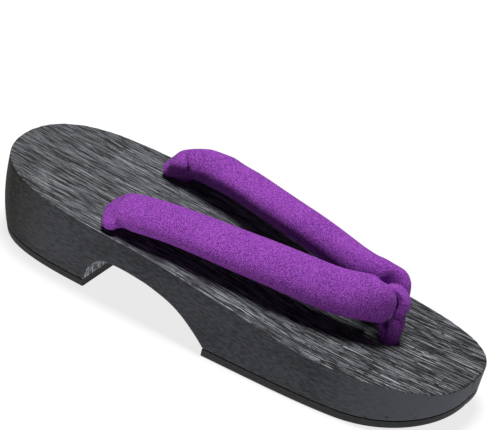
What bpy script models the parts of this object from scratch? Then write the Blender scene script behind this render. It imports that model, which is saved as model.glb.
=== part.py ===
"""A geta sandal: a carved wooden base, two rubber soles, a padded thong strap and a toe loop.

Metres, +Z up. The toe points along +X and the wearer's left is +Y.
The origin is on the floor, under the middle of the sandal.
"""

import math

import bpy
from mathutils import Matrix, Vector

# Base
LENGTH = 0.240
WIDTH = 0.0845
HEEL_HEIGHT = 0.0398
BALL_HEIGHT = 0.0229
ARCH_HEIGHT = 0.0215
HEEL_LENGTH = 0.060
FOREFOOT_LENGTH = 0.111
HEEL_TAPER = 0.008
HEEL_TAPER_POWER = 1.5
HEEL_TUCK = 0.005
HEEL_TUCK_POWER = 4
HEEL_TUCK_BEND = 3
HEEL_FLARE = 0.0008
TOE_TUCK = 0.0019
TOE_SPRING = 0.0095
SPRING_LENGTH = 0.045
RIM_CHAMFER = 0.0012
FOOT_CHAMFER = 0.0006

# Rubber
RUBBER_THICKNESS = 0.004

# Strap holes
REAR_HOLE_FROM_BACK = 0.0680
REAR_HOLE_SPREAD = 0.0616
FRONT_HOLE_FROM_TOE = 0.0430
HOLE_RADIUS = 0.0045
REAR_HOLE_LEAN_FORWARD = math.radians(28)
REAR_HOLE_LEAN_INWARD = math.radians(12)
REAR_RECESS_DEPTH = 0.0050
FRONT_RECESS_DEPTH = 0.0090
KNOT_CLEARANCE = 0.0013

# Strap
STRAP_WIDTH = 0.0226
STRAP_THICKNESS = 0.0150
STRAP_RISE = 0.0204
STRAP_PARTING = 0.0003
WAIST_HALF_HEIGHT = 0.0041
WAIST_HALF_WIDTH = 0.0025
REAR_KNOT_RADIUS = 0.0058
TAIL_PEEP = 0.0006

# Toe loop
LOOP_WIDTH = 0.0078
LOOP_THICKNESS = 0.0047
TAIL_HEAD = 0.0024
TAIL_HEAD_SHARE = 0.8
FRONT_KNOT_RADIUS = 0.0075
FRONT_KNOT_HALF_HEIGHT = 0.0036

# Fits and mesh fineness
GAP = 0.0003
TAIL_RADIUS = HOLE_RADIUS - GAP
RING_POINTS = 20
HOLE_SIDES = 32
CUTTER_MARGIN = 0.010
MERGE_DISTANCE = 0.0001
HEEL_STEPS = 13
TOE_STEPS = 18
HARD_EDGE_ANGLE = 35
SOFT_EDGE_ANGLE = 60

HALF_LENGTH = LENGTH / 2
HALF_WIDTH = WIDTH / 2
HEEL_FRONT = HEEL_LENGTH - HALF_LENGTH
FOREFOOT_BACK = HALF_LENGTH - FOREFOOT_LENGTH
REAR_HOLE_X = REAR_HOLE_FROM_BACK - HALF_LENGTH
REAR_HOLE_Y = REAR_HOLE_SPREAD / 2
FRONT_HOLE_X = HALF_LENGTH - FRONT_HOLE_FROM_TOE
STRAP_RUN = FRONT_HOLE_X - REAR_HOLE_X

# The outline is widest at WIDEST_SHARE of the length from the toe, and each end is its own curve
WIDEST_SHARE = 0.43
TOE_CURVE = (3.5, 0.365)
HEEL_CURVE = (6.0, 0.475)
END_SHARE = 0.9995

# Levels of the base's side, as shares of its height from the rim down
SIDE_LEVELS = (0.0, 0.40, 0.72, 1.0)

# Deck line: share of the half length, share of the drop from the heel's height to the ball's
DECK_ROWS = [
    (-1.000, 1.000),
    (-0.625, 0.815),
    (-0.250, 0.690),
    (0.125, 0.360),
    (0.500, 0.028),
    (0.750, 0.000),
    (1.000, 0.035),
]

# Arch line: share of the span from the heel's front to the forefoot's back, share of the arch's height
ARCH_ROWS = [
    (0.000, 0.000),
    (0.017, 0.230),
    (0.049, 0.514),
    (0.093, 0.777),
    (0.148, 0.926),
    (0.207, 0.977),
    (0.304, 1.000),
    (0.464, 0.966),
    (0.628, 0.846),
    (0.713, 0.743),
    (0.799, 0.583),
    (0.886, 0.360),
    (0.957, 0.149),
    (1.000, 0.000),
]

# Strap sections from a rear hole to the front, one row each:
# along the run, out from the middle, rise over the deck, width, thickness (shares),
# heading, pitch and tilt (degrees)
STRAP_ROWS = [
    (-0.008, 0.985, 0.083, 0.92, 0.60, 22, 88, 0),
    (-0.008, 0.985, 0.191, 1.09, 0.70, 28, 78, 2),
    (0.014, 0.992, 0.335, 1.09, 0.77, 28, 52, 5),
    (0.057, 0.992, 0.455, 1.06, 0.86, 24, 21, 8),
    (0.118, 0.965, 0.535, 1.02, 0.89, 17, 10, 10),
    (0.233, 0.890, 0.626, 1.00, 0.90, 14, 3, 13),
    (0.403, 0.753, 0.716, 1.00, 0.94, 13, -3, 18),
    (0.636, 0.558, 0.838, 0.98, 1.03, 13, -5, 30),
    (0.791, 0.396, 0.882, 0.96, 1.07, 11, -2, 44),
    (0.868, 0.312, 0.941, 0.96, 1.05, 8, 2, 58),
    (0.916, 0.269, 0.990, 0.96, 0.97, 9, 0, 78),
    (0.950, 0.276, 1.005, 0.95, 0.72, 38, 0, 90),
    (0.976, 0.230, 1.010, 0.88, 0.62, 60, 0, 90),
]
STRAP_STEPS = 3

# The waist, where the toe loop holds the strap: place along the run and share of the strap's rise
WAIST_ALONG = 0.981
WAIST_RISE = 0.93

# Its sections, from the blunt nose of an arm to the middle: distance from the middle in loop widths,
# height and width (shares of the waist's own), lift as a share of the strap's rise
WAIST_ROWS = [
    (0.680, 1.80, 1.55, 0.055),
    (0.590, 1.50, 1.38, 0.050),
    (0.548, 1.00, 1.00, 0.000),
    (0.300, 1.00, 1.00, 0.000),
    (0.000, 1.00, 1.00, 0.000),
]

# A knot is a ball or a flattened ball: the angles of its rings from its far end, then its shoulder
KNOT_ANGLES = (-80, -55, -28, 0, 25)
KNOT_SHOULDER_ANGLE = 52

# Toe loop's legs below the strap: distance before or behind the hole as a share of the tail's radius,
# height as a share of the strap's rise, thickness and width (shares)
BACK_LEG_ROWS = [
    (-0.46, 0.025, 0.60, 0.84),
    (-0.95, 0.220, 0.66, 0.86),
    (-1.36, 0.460, 0.80, 0.94),
]
FRONT_LEG_ROWS = [
    (0.34, 0.460, 1.30, 1.00),
    (0.30, 0.220, 1.20, 0.98),
    (0.34, 0.025, 0.80, 0.86),
]
LOOP_START_ANGLE = 222
LOOP_END_ANGLE = -42
LOOP_ARC_STEPS = 12
LOOP_ARC_THICKNESS = 0.97
LOOP_POINTS = 16
LOOP_SQUARENESS = 3.4

BLACK_WOOD = ((0.055, 0.058, 0.062, 1.0), 0.55)
BLACK_RUBBER = ((0.012, 0.012, 0.013, 1.0), 0.80)
PURPLE_CLOTH = ((0.300, 0.060, 0.420, 1.0), 0.90)


def clear_scene():
    """Remove every object of the start-up scene."""
    for thing in list(bpy.data.objects):
        bpy.data.objects.remove(thing)


def make_collection(name):
    """Add a collection to the scene and return it."""
    made = bpy.data.collections.new(name)
    bpy.context.scene.collection.children.link(made)
    return made


def make_material(name, look):
    """A Principled material of one colour and roughness."""
    colour, roughness = look
    material = bpy.data.materials.new(name)
    material.use_nodes = True
    shader = material.node_tree.nodes["Principled BSDF"]
    shader.inputs["Base Color"].default_value = colour
    shader.inputs["Roughness"].default_value = roughness
    shader.inputs["Metallic"].default_value = 0.0
    return material


def through_rows(rows, place):
    """Read a table of (place, value) rows on a smooth line that never overshoots a row."""
    places = [row[0] for row in rows]
    values = [row[1] for row in rows]
    steps = [(values[i + 1] - values[i]) / (places[i + 1] - places[i]) for i in range(len(rows) - 1)]
    slopes = [steps[0]]
    for before, after in zip(steps, steps[1:]):
        turns = before * after <= 0
        slopes.append(0.0 if turns else 2 * before * after / (before + after))
    slopes.append(steps[-1])
    place = min(max(place, places[0]), places[-1])
    i = max(k for k in range(len(rows) - 1) if places[k] <= place)
    span = places[i + 1] - places[i]
    t = (place - places[i]) / span
    start = values[i] * (1 + 2 * t) * (1 - t) ** 2 + slopes[i] * span * t * (1 - t) ** 2
    end = values[i + 1] * t * t * (3 - 2 * t) - slopes[i + 1] * span * t * t * (1 - t)
    return start + end


def catmull_rom(a, b, c, d, t):
    """Value at share t between b and c, where a comes before and d after."""
    square = t * t * (a - 2.5 * b + 2 * c - d / 2)
    cube = t**3 * (1.5 * (b - c) + (d - a) / 2)
    return b + t * (c - a) / 2 + square + cube


def between_rows(rows, steps):
    """Fill each stretch between rows with steps sections on a Catmull-Rom curve, all columns alike."""
    filled = []
    last = len(rows) - 1
    for i in range(last):
        before = rows[max(i - 1, 0)]
        start = rows[i]
        end = rows[i + 1]
        after = rows[min(i + 2, last)]
        for k in range(steps):
            t = k / steps
            columns = zip(before, start, end, after)
            filled.append(tuple(catmull_rom(a, b, c, d, t) for a, b, c, d in columns))
    filled.append(tuple(rows[last]))
    return filled


def half_outline(x):
    """Half the deck's width at x."""
    widest = HALF_LENGTH - WIDEST_SHARE * LENGTH
    if x > widest:
        share = (x - widest) / (HALF_LENGTH - widest)
        power, root = TOE_CURVE
    else:
        share = (widest - x) / (HALF_LENGTH + widest)
        power, root = HEEL_CURVE
    return HALF_WIDTH * max(1 - share**power, 0.0) ** root


def deck_height(x):
    """Height of the deck over the floor at x."""
    return BALL_HEIGHT + (HEEL_HEIGHT - BALL_HEIGHT) * through_rows(DECK_ROWS, x / HALF_LENGTH)


def toe_lift(x):
    """How far the sole's underside leaves the floor at x, at the toe."""
    share = max(0.0, (x - HALF_LENGTH + SPRING_LENGTH) / SPRING_LENGTH)
    return TOE_SPRING * share * share


def underside(x):
    """Height of the wood's underside at x: heel, arch, then forefoot."""
    if x <= HEEL_FRONT:
        return RUBBER_THICKNESS
    if x >= FOREFOOT_BACK:
        return RUBBER_THICKNESS + toe_lift(x)
    share = (x - HEEL_FRONT) / (FOREFOOT_BACK - HEEL_FRONT)
    return RUBBER_THICKNESS + (ARCH_HEIGHT - RUBBER_THICKNESS) * through_rows(ARCH_ROWS, share)


def side_point(x, z, inset):
    """Point of the carved side at station x and height z, drawn in by inset from the outline."""
    past_heel = min(max((x - HEEL_FRONT) / (FOREFOOT_BACK - HEEL_FRONT), 0.0), 1.0)
    depth = max(1 - z / deck_height(x), 0.0)
    taper = HEEL_TAPER * (1 - past_heel) ** HEEL_TAPER_POWER * depth
    ahead = max(x / HALF_LENGTH, 0.0)
    behind = max(-x / HALF_LENGTH, 0.0)
    flare = HEEL_FLARE * 4 * depth * (1 - depth)
    tuck = TOE_TUCK * ahead * depth + behind**HEEL_TUCK_POWER * (HEEL_TUCK * depth**HEEL_TUCK_BEND - flare)
    x_share = 1 - (inset + tuck) / HALF_LENGTH
    y_share = 1 - (inset + taper) / HALF_WIDTH
    return x * x_share, half_outline(x) * y_share, z


def end_stations(start, end, count):
    """Stations from start to end, closer together towards end, where the outline turns in."""
    return [start + (end - start) * math.sin(math.pi / 2 * k / count) for k in range(count + 1)]


def rings_along(stations, levels):
    """Closed rings across the sandal, from levels(x): (height, inset) pairs from the top down."""
    rings = []
    for x in stations:
        left = [side_point(x, z, inset) for z, inset in levels(x)]
        right = [(px, -py, pz) for px, py, pz in left]
        rings.append([Vector(p) for p in right + left[::-1]])
    return rings


def loft(rings, cap_start=True, cap_end=True):
    """A mesh through rings of equal length, in the order that faces out along the way."""
    count = len(rings[0])
    points = [p for ring in rings for p in ring]
    faces = []
    for i in range(len(rings) - 1):
        for k in range(count):
            n = (k + 1) % count
            a = i * count
            b = a + count
            faces.append((a + k, a + n, b + n, b + k))
    if cap_start:
        faces.append(tuple(reversed(range(count))))
    if cap_end:
        faces.append(tuple(range(len(points) - count, len(points))))
    mesh = bpy.data.meshes.new("loft")
    mesh.from_pydata(points, [], faces)
    mesh.update()
    return mesh


def add_object(name, mesh, material, collection):
    """Link a mesh as a named object of the sandal."""
    mesh.name = name
    mesh.materials.clear()
    mesh.materials.append(material)
    made = bpy.data.objects.new(name, mesh)
    collection.objects.link(made)
    return made


def shade_round(thing, angle):
    """Smooth shading with sharp edges past angle."""
    thing.data.shade_smooth()
    thing.data.set_sharp_from_angle(angle=math.radians(angle))


def add_cutter(name, start, end, radius, collection):
    """A cylinder from start to end that only cuts."""
    axis = end - start
    bpy.ops.mesh.primitive_cylinder_add(vertices=HOLE_SIDES, radius=radius, depth=axis.length)
    cutter = bpy.context.active_object
    cutter.name = name
    turn = axis.to_track_quat("Z", "Y").to_matrix().to_4x4()
    cutter.matrix_world = Matrix.Translation((start + end) / 2) @ turn
    for owner in list(cutter.users_collection):
        owner.objects.unlink(cutter)
    collection.objects.link(cutter)
    cutter.hide_render = True
    cutter.display_type = "WIRE"
    return cutter


def cut(thing, cutter):
    """Subtract a cutter."""
    modifier = thing.modifiers.new(cutter.name, "BOOLEAN")
    modifier.operation = "DIFFERENCE"
    modifier.solver = "EXACT"
    modifier.object = cutter


def rear_hole_axis(side):
    """Mouth of a rear hole on the deck, and the direction that it runs down and forward in."""
    mouth = Vector((REAR_HOLE_X, side * REAR_HOLE_Y, deck_height(REAR_HOLE_X)))
    way = Vector((math.tan(REAR_HOLE_LEAN_FORWARD), -side * math.tan(REAR_HOLE_LEAN_INWARD), -1.0))
    return mouth, way.normalized()


def rear_knot_centre(side):
    """Centre of a rear knot: on the hole's axis, just under the roof of its recess."""
    mouth, way = rear_hole_axis(side)
    height = ARCH_HEIGHT + REAR_RECESS_DEPTH - GAP - REAR_KNOT_RADIUS
    return mouth + way * ((height - mouth.z) / way.z)


def build_base(material, parts, cutters):
    """The wooden base, lofted along its length and drilled."""

    def levels(x):
        top = deck_height(x) - RIM_CHAMFER
        low = underside(x) + FOOT_CHAMFER
        side = [(top + (low - top) * share, 0.0) for share in SIDE_LEVELS]
        return [(deck_height(x), RIM_CHAMFER), *side, (underside(x), FOOT_CHAMFER)]

    heel = end_stations(HEEL_FRONT, -HALF_LENGTH * END_SHARE, HEEL_STEPS)
    arch = [HEEL_FRONT + (FOREFOOT_BACK - HEEL_FRONT) * share for share, _ in ARCH_ROWS[1:-1]]
    toe = end_stations(FOREFOOT_BACK, HALF_LENGTH * END_SHARE, TOE_STEPS)
    base = add_object("wood_base", loft(rings_along(heel[::-1] + arch + toe, levels)), material, parts)
    for side, name in ((1, "left"), (-1, "right")):
        mouth, way = rear_hole_axis(side)
        knot = rear_knot_centre(side)
        cut(base, add_cutter("rear_hole_" + name, mouth - way * CUTTER_MARGIN, knot, HOLE_RADIUS, cutters))
        roof = Vector((knot.x, knot.y, ARCH_HEIGHT + REAR_RECESS_DEPTH))
        below = Vector((knot.x, knot.y, RUBBER_THICKNESS))
        size = REAR_KNOT_RADIUS + KNOT_CLEARANCE
        cut(base, add_cutter("rear_knot_recess_" + name, below, roof, size, cutters))
    top = Vector((FRONT_HOLE_X, 0, deck_height(FRONT_HOLE_X) + CUTTER_MARGIN))
    floor = Vector((FRONT_HOLE_X, 0, -CUTTER_MARGIN))
    roof = Vector((FRONT_HOLE_X, 0, RUBBER_THICKNESS + FRONT_RECESS_DEPTH))
    cut(base, add_cutter("front_hole", floor, top, HOLE_RADIUS, cutters))
    recess = add_cutter("front_knot_recess", floor, roof, FRONT_KNOT_RADIUS + KNOT_CLEARANCE, cutters)
    cut(base, recess)
    shade_round(base, HARD_EDGE_ANGLE)
    return recess


def build_rubber(name, stations, material, parts):
    """One rubber sheet under the wood, following its outline and its lift at the toe."""

    def levels(x):
        top = toe_lift(x) + RUBBER_THICKNESS - GAP
        low = toe_lift(x)
        return [(top, 0.0), (low + FOOT_CHAMFER, 0.0), (low, FOOT_CHAMFER)]

    sheet = add_object(name, loft(rings_along(stations, levels)), material, parts)
    shade_round(sheet, HARD_EDGE_ANGLE)
    return sheet


def turned_ring(centre, across, up, half_width, half_height, points, power=2):
    """A ring of points round centre, from across towards up: an ellipse, or squarer with a power above 2."""
    ring = []
    for k in range(points):
        turn = 2 * math.pi * k / points
        out = math.copysign(abs(math.cos(turn)) ** (2 / power), math.cos(turn))
        rise = math.copysign(abs(math.sin(turn)) ** (2 / power), math.sin(turn))
        ring.append(centre + across * (half_width * out) + up * (half_height * rise))
    return ring


def tail_rings(knot, mouth, radius, half_height, knot_radius, points):
    """Round rings from a knot's far end, over the knot, up its tail to a level ring at the mouth."""
    way = (mouth - knot).normalized()
    across = (Vector((0, 1, 0)) - way * way.y).normalized()
    up = way.cross(across)
    rings = []
    for angle in KNOT_ANGLES:
        place = knot + way * (half_height * math.sin(math.radians(angle)))
        size = knot_radius * math.cos(math.radians(angle))
        rings.append(turned_ring(place, across, up, size, size, points))
    shoulder = knot + way * (half_height * math.sin(math.radians(KNOT_SHOULDER_ANGLE)))
    rings.append(turned_ring(shoulder, across, up, radius, radius, points))
    rings.append([p + way * ((mouth.z - p.z) / way.z) for p in rings[-1]])
    return rings


def strap_ring(row):
    """One section of the padded strap from its table row."""
    along, out, rise, width, thickness, heading, pitch, tilt = row
    x = REAR_HOLE_X + along * STRAP_RUN
    centre = Vector((x, out * REAR_HOLE_Y, deck_height(x) + rise * STRAP_RISE))
    heading, pitch, tilt = (math.radians(v) for v in (heading, pitch, tilt))
    across = Vector((math.sin(heading), math.cos(heading), 0))
    forward = Vector((math.cos(heading), -math.sin(heading), 0))
    up = Vector((0, 0, math.cos(pitch))) - forward * math.sin(pitch)
    wide = across * math.cos(tilt) - up * math.sin(tilt)
    thick = across * math.sin(tilt) + up * math.cos(tilt)
    half_width = width * STRAP_WIDTH / 2
    half_height = thickness * STRAP_THICKNESS / 2
    ring = turned_ring(centre, wide, thick, half_width, half_height, RING_POINTS)
    return [Vector((p.x, max(p.y, STRAP_PARTING), p.z)) for p in ring]


def waist_centre():
    """Middle of the strap's narrow waist, which the toe loop holds."""
    x = REAR_HOLE_X + WAIST_ALONG * STRAP_RUN
    return Vector((x, 0, deck_height(x) + WAIST_RISE * STRAP_RISE))


def waist_rings():
    """Sections of the waist from one nose to the middle plane, where the mirror joins it."""
    rings = []
    for out, height, width, lift in WAIST_ROWS:
        centre = waist_centre() + Vector((0, out * LOOP_WIDTH, lift * STRAP_RISE))
        down = Vector((0, 0, -1))
        ahead = Vector((1, 0, 0))
        half_height = WAIST_HALF_HEIGHT * height
        half_width = WAIST_HALF_WIDTH * width
        rings.append(turned_ring(centre, down, ahead, half_height, half_width, RING_POINTS))
    return rings


def build_strap(material, parts):
    """The padded thong strap: one half lofted from its knot to the middle, then mirrored."""
    mouth, way = rear_hole_axis(1)
    knot = rear_knot_centre(1)
    top = mouth - way * TAIL_PEEP
    rings = tail_rings(knot, top, TAIL_RADIUS, REAR_KNOT_RADIUS, REAR_KNOT_RADIUS, RING_POINTS)
    rings += [strap_ring(row) for row in between_rows(STRAP_ROWS, STRAP_STEPS)]
    rings += waist_rings()
    strap = add_object("thong_strap", loft(rings, cap_end=False), material, parts)
    mirror = strap.modifiers.new("other_side", "MIRROR")
    mirror.use_axis = (False, True, False)
    mirror.merge_threshold = MERGE_DISTANCE
    shade_round(strap, SOFT_EDGE_ANGLE)
    return strap


def loop_rings():
    """Sections of the toe loop from its back leg, over the waist, to its front leg."""
    centre = waist_centre()
    deck = deck_height(FRONT_HOLE_X)
    reach = GAP + LOOP_THICKNESS / 2
    rows = []
    for before, rise, thickness, width in BACK_LEG_ROWS:
        rows.append((FRONT_HOLE_X + before * TAIL_RADIUS, deck + rise * STRAP_RISE, thickness, width))
    for k in range(LOOP_ARC_STEPS + 1):
        turn = math.radians(LOOP_START_ANGLE + (LOOP_END_ANGLE - LOOP_START_ANGLE) * k / LOOP_ARC_STEPS)
        x = centre.x + (WAIST_HALF_WIDTH + reach) * math.cos(turn)
        z = centre.z + (WAIST_HALF_HEIGHT + reach) * math.sin(turn)
        rows.append((x, z, LOOP_ARC_THICKNESS, 1.0))
    for before, rise, thickness, width in FRONT_LEG_ROWS:
        rows.append((FRONT_HOLE_X + before * TAIL_RADIUS, deck + rise * STRAP_RISE, thickness, width))
    rings = []
    side = Vector((0, 1, 0))
    for i, (x, z, thickness, width) in enumerate(rows):
        ahead = rows[min(i + 1, len(rows) - 1)]
        behind = rows[max(i - 1, 0)]
        way = Vector((ahead[0] - behind[0], 0, ahead[1] - behind[1])).normalized()
        up = way.cross(side)
        half_width = width * LOOP_WIDTH / 2
        half_height = thickness * LOOP_THICKNESS / 2
        place = Vector((x, 0, z))
        rings.append(turned_ring(place, side, up, half_width, half_height, LOOP_POINTS, LOOP_SQUARENESS))
    return rings


def build_loop(material, parts, cutters):
    """The toe loop: a band round the strap's waist, joined to a tail with a knot under the front hole."""
    roof = RUBBER_THICKNESS + FRONT_RECESS_DEPTH
    knot = Vector((FRONT_HOLE_X, 0, roof - GAP - FRONT_KNOT_HALF_HEIGHT))
    mouth = Vector((FRONT_HOLE_X, 0, deck_height(FRONT_HOLE_X) + TAIL_PEEP))
    rings = tail_rings(knot, mouth, TAIL_RADIUS, FRONT_KNOT_HALF_HEIGHT, FRONT_KNOT_RADIUS, RING_POINTS)
    top = mouth + Vector((0, 0, TAIL_HEAD))
    size = TAIL_RADIUS * TAIL_HEAD_SHARE
    rings.append(turned_ring(top, Vector((0, 1, 0)), Vector((-1, 0, 0)), size, size, RING_POINTS))
    tail = add_object("toe_loop", loft(rings), material, parts)
    band = add_object("toe_loop_band", loft(loop_rings()), material, cutters)
    band.hide_render = True
    band.display_type = "WIRE"
    union = tail.modifiers.new("band", "BOOLEAN")
    union.operation = "UNION"
    union.solver = "EXACT"
    union.object = band
    shade_round(tail, SOFT_EDGE_ANGLE)
    return tail


def main():
    """Build the sandal."""
    clear_scene()
    parts = make_collection("geta_sandal")
    cutters = make_collection("cutters")
    wood = make_material("black_stained_wood", BLACK_WOOD)
    rubber = make_material("black_rubber", BLACK_RUBBER)
    cloth = make_material("purple_crepe_cloth", PURPLE_CLOTH)
    recess = build_base(wood, parts, cutters)
    heel = end_stations(HEEL_FRONT, -HALF_LENGTH * END_SHARE, HEEL_STEPS)
    build_rubber("heel_rubber_sole", heel[::-1], rubber, parts)
    toe = end_stations(FOREFOOT_BACK, HALF_LENGTH * END_SHARE, TOE_STEPS)
    cut(build_rubber("forefoot_rubber_sole", toe, rubber, parts), recess)
    build_strap(cloth, parts)
    build_loop(cloth, parts, cutters)


main()
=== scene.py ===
"""The looks of a geta sandal: brushed black wood, rubber soles, a padded cloth strap and its toe loop.

Metres, +Z up. The toe points along +X and the wearer's left is +Y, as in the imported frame.
"""

import logging
import math
from dataclasses import dataclass
from enum import Enum
from typing import Sequence

import bmesh
import bpy
from mathutils import Matrix, Vector, geometry, noise


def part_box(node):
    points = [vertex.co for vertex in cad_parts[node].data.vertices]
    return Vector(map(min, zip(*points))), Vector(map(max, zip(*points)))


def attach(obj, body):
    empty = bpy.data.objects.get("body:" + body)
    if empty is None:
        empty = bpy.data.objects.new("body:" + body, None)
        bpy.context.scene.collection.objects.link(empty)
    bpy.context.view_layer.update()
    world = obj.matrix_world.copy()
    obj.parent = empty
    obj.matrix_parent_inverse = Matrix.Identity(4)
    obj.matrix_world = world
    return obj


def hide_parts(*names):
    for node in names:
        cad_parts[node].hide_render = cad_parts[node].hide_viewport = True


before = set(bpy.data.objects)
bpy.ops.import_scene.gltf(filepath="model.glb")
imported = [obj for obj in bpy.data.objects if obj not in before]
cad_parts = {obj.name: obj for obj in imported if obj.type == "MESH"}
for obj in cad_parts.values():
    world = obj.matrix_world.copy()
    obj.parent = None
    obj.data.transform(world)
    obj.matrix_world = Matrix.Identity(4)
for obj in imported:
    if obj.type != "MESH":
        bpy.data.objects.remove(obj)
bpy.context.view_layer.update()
MM = 0.001
DECK_MARKS = ("relief", "worn", "chipped")
Triple = tuple[float, float, float]
log = logging.getLogger("geta")


class Side(Enum):
    """The wearer's left or right."""

    LEFT = 1
    RIGHT = -1


class Facing(Enum):
    """Which finish a face of the wood gets."""

    DECK = 0
    SIDE = 1


def linear(code: str) -> tuple[float, float, float, float]:
    """Turn an sRGB hex colour into linear light.

    Args:
        code: Six hex digits after a sign.

    Returns:
        Red, green, blue and a full alpha.
    """
    values = [int(code[i:i + 2], 16) / 255 for i in (1, 3, 5)]
    parts = [v / 12.92 if v <= 0.04045 else ((v + 0.055) / 1.055) ** 2.4 for v in values]
    return (*parts, 1.0)


def unit(value: float) -> float:
    """Hold a value between 0 and 1."""
    return max(0.0, min(1.0, value))


def set_up(tree: bpy.types.NodeTree, node: bpy.types.Node, settings: dict, links: dict) -> None:
    """Give a node its settings and its incoming links.

    Args:
        tree: The material's node tree.
        node: The node.
        settings: Attributes of the node, values of its inputs by name or place, or a ramp's stops.
        links: The output that feeds each named or numbered input.
    """
    for key, value in settings.items():
        if key == "stops":
            points = node.color_ramp.elements
            while len(points) < len(value):
                points.new(0.5)
            for point, (place, tone) in zip(points, value):
                point.position = place
                point.color = linear(tone) if isinstance(tone, str) else (tone, tone, tone, 1.0)
        elif isinstance(key, str) and hasattr(node, key):
            setattr(node, key, value)
        else:
            node.inputs[key].default_value = value
    for key, source in links.items():
        tree.links.new(source, node.inputs[key])


def add_node(tree: bpy.types.NodeTree, kind: str, settings: dict | None = None, links: dict | None = None,
             out: int | str = 0) -> bpy.types.NodeSocket:
    """Add one shader node with its settings and its incoming links.

    Args:
        tree: The material's node tree.
        kind: The node's type name, without the ShaderNode part.
        settings: As for set_up.
        links: As for set_up.
        out: The output that is wanted, by name or place.

    Returns:
        That output.
    """
    node = tree.nodes.new("ShaderNode" + kind)
    set_up(tree, node, settings or {}, links or {})
    return node.outputs[out]


def new_material(name: str) -> tuple[bpy.types.Material, bpy.types.NodeTree, bpy.types.Node]:
    """Make a material with a Principled shader.

    Args:
        name: The real material's name.

    Returns:
        The material, its node tree and its shader.
    """
    material = bpy.data.materials.new(name)
    material.use_nodes = True
    tree = material.node_tree
    return material, tree, tree.nodes["Principled BSDF"]


def pattern(tree: bpy.types.NodeTree, size: Triple, detail: float = 2.0,
            rough: float = 0.5, turn: Triple = (0.0, 0.0, 0.0)) -> bpy.types.NodeSocket:
    """An irregular pattern of a real size, drawn out where one size is larger than the others.

    Args:
        tree: The material's node tree.
        size: The pattern's size in millimetres along its own X, Y and Z.
        detail: Octaves of finer pattern in it.
        rough: How strong the finer pattern is.
        turn: How the pattern's axes are turned, in degrees.

    Returns:
        A value round 0.5.
    """
    place = add_node(tree, "TexCoord", out="Object")
    turned = add_node(tree, "Mapping", {"vector_type": "TEXTURE", "Scale": tuple(v * MM for v in size),
                                        "Rotation": tuple(math.radians(v) for v in turn)}, {"Vector": place})
    return add_node(tree, "TexNoise", {"Scale": 1.0, "Detail": detail, "Roughness": rough},
                    {"Vector": turned}, "Fac")


@dataclass(frozen=True)
class BrushedWood:
    """Paulownia, wire-brushed and stained black.

    The soft early wood is brushed out into black grooves and pits, and the hard late wood stands up in
    thin silvery lines that catch the light. Toward the toe the body is darkened as painted shade, and the
    lines and pits grow stronger: behind the ramp's start they keep only a share of their strength, and
    ahead of its end all of it. Sizes are in millimetres, and the finest lines are drawn as wide as they
    must be to show.
    """

    pit: str = "#060607"
    groove: str = "#141517"
    body: str = "#37393d"
    ridge: str = "#626569"
    line: str = "#a2a5a9"
    groove_size: Triple = (11.0, 0.70, 4.0)
    patch_size: Triple = (60.0, 14.0, 30.0)
    line_size: Triple = (26.0, 0.52, 8.0)
    pit_size: Triple = (4.5, 0.56, 2.2)
    toeward_start: float = -0.06
    toeward_end: float = 0.06
    toeward_share: float = 0.65
    shares: Triple = (0.12, 0.80, 0.08)

    def build(self) -> bpy.types.Material:
        """Make the deck's material."""
        material, tree, shader = new_material("black_stained_brushed_paulownia")
        relief, worn, chipped = [add_node(tree, "Attribute", {"attribute_name": name}, out="Fac")
                                 for name in DECK_MARKS]
        place = add_node(tree, "TexCoord", out="Object")
        ahead = add_node(tree, "SeparateXYZ", links={0: place})
        # A ramp along the length that rises toward the toe; despite its name it measures no brushing.
        brushed = add_node(tree, "MapRange", {"From Min": self.toeward_start, "From Max": self.toeward_end,
                                              "To Min": self.toeward_share}, {0: ahead})
        streak = pattern(tree, self.groove_size)
        patch = pattern(tree, self.patch_size)
        # Painted shade: the body's tone drops toward the toe.
        tone = add_node(tree, "Math", {"operation": "MULTIPLY_ADD", 1: -0.09, 2: 0.06}, {0: brushed})
        for share, source in zip(self.shares, (relief, streak, patch)):
            tone = add_node(tree, "Math", {"operation": "MULTIPLY_ADD", 1: share}, {0: source, 2: tone})
        stops = [(0.42, self.groove), (0.475, self.body), (0.57, self.ridge)]
        body = add_node(tree, "ValToRGB", {"stops": stops}, {0: tone})
        # The grain's pale lines and the thin pale line painted on the rim share the line colour.
        marks = ((self.line, self.line_size, [(0.58, 0.0), (0.63, 1.0)], worn),
                 (self.pit, self.pit_size, [(0.405, 1.0), (0.445, 0.0)], chipped))
        for colour, size, stops, rim in marks:
            mark = add_node(tree, "ValToRGB", {"stops": stops}, {0: pattern(tree, size)})
            mark = add_node(tree, "Math", {"operation": "MULTIPLY"}, {0: mark, 1: brushed})
            mark = add_node(tree, "Math", {"operation": "MAXIMUM"}, {0: mark, 1: rim})
            body = add_node(tree, "Mix", {"data_type": "RGBA", 7: linear(colour)}, {0: mark, 6: body}, 2)
        stops = [(0.38, 0.80), (0.64, 0.46)]
        gloss = add_node(tree, "ValToRGB", {"stops": stops}, {0: tone})
        height = add_node(tree, "Math", {"operation": "SUBTRACT"}, {0: streak, 1: mark})
        bump = add_node(tree, "Bump", {"Strength": 0.6, "Distance": 0.3 * MM}, {"Height": height})
        set_up(tree, shader, {"Specular IOR Level": 0.4},
               {"Base Color": body, "Roughness": gloss, "Normal": bump})
        return material


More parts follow.
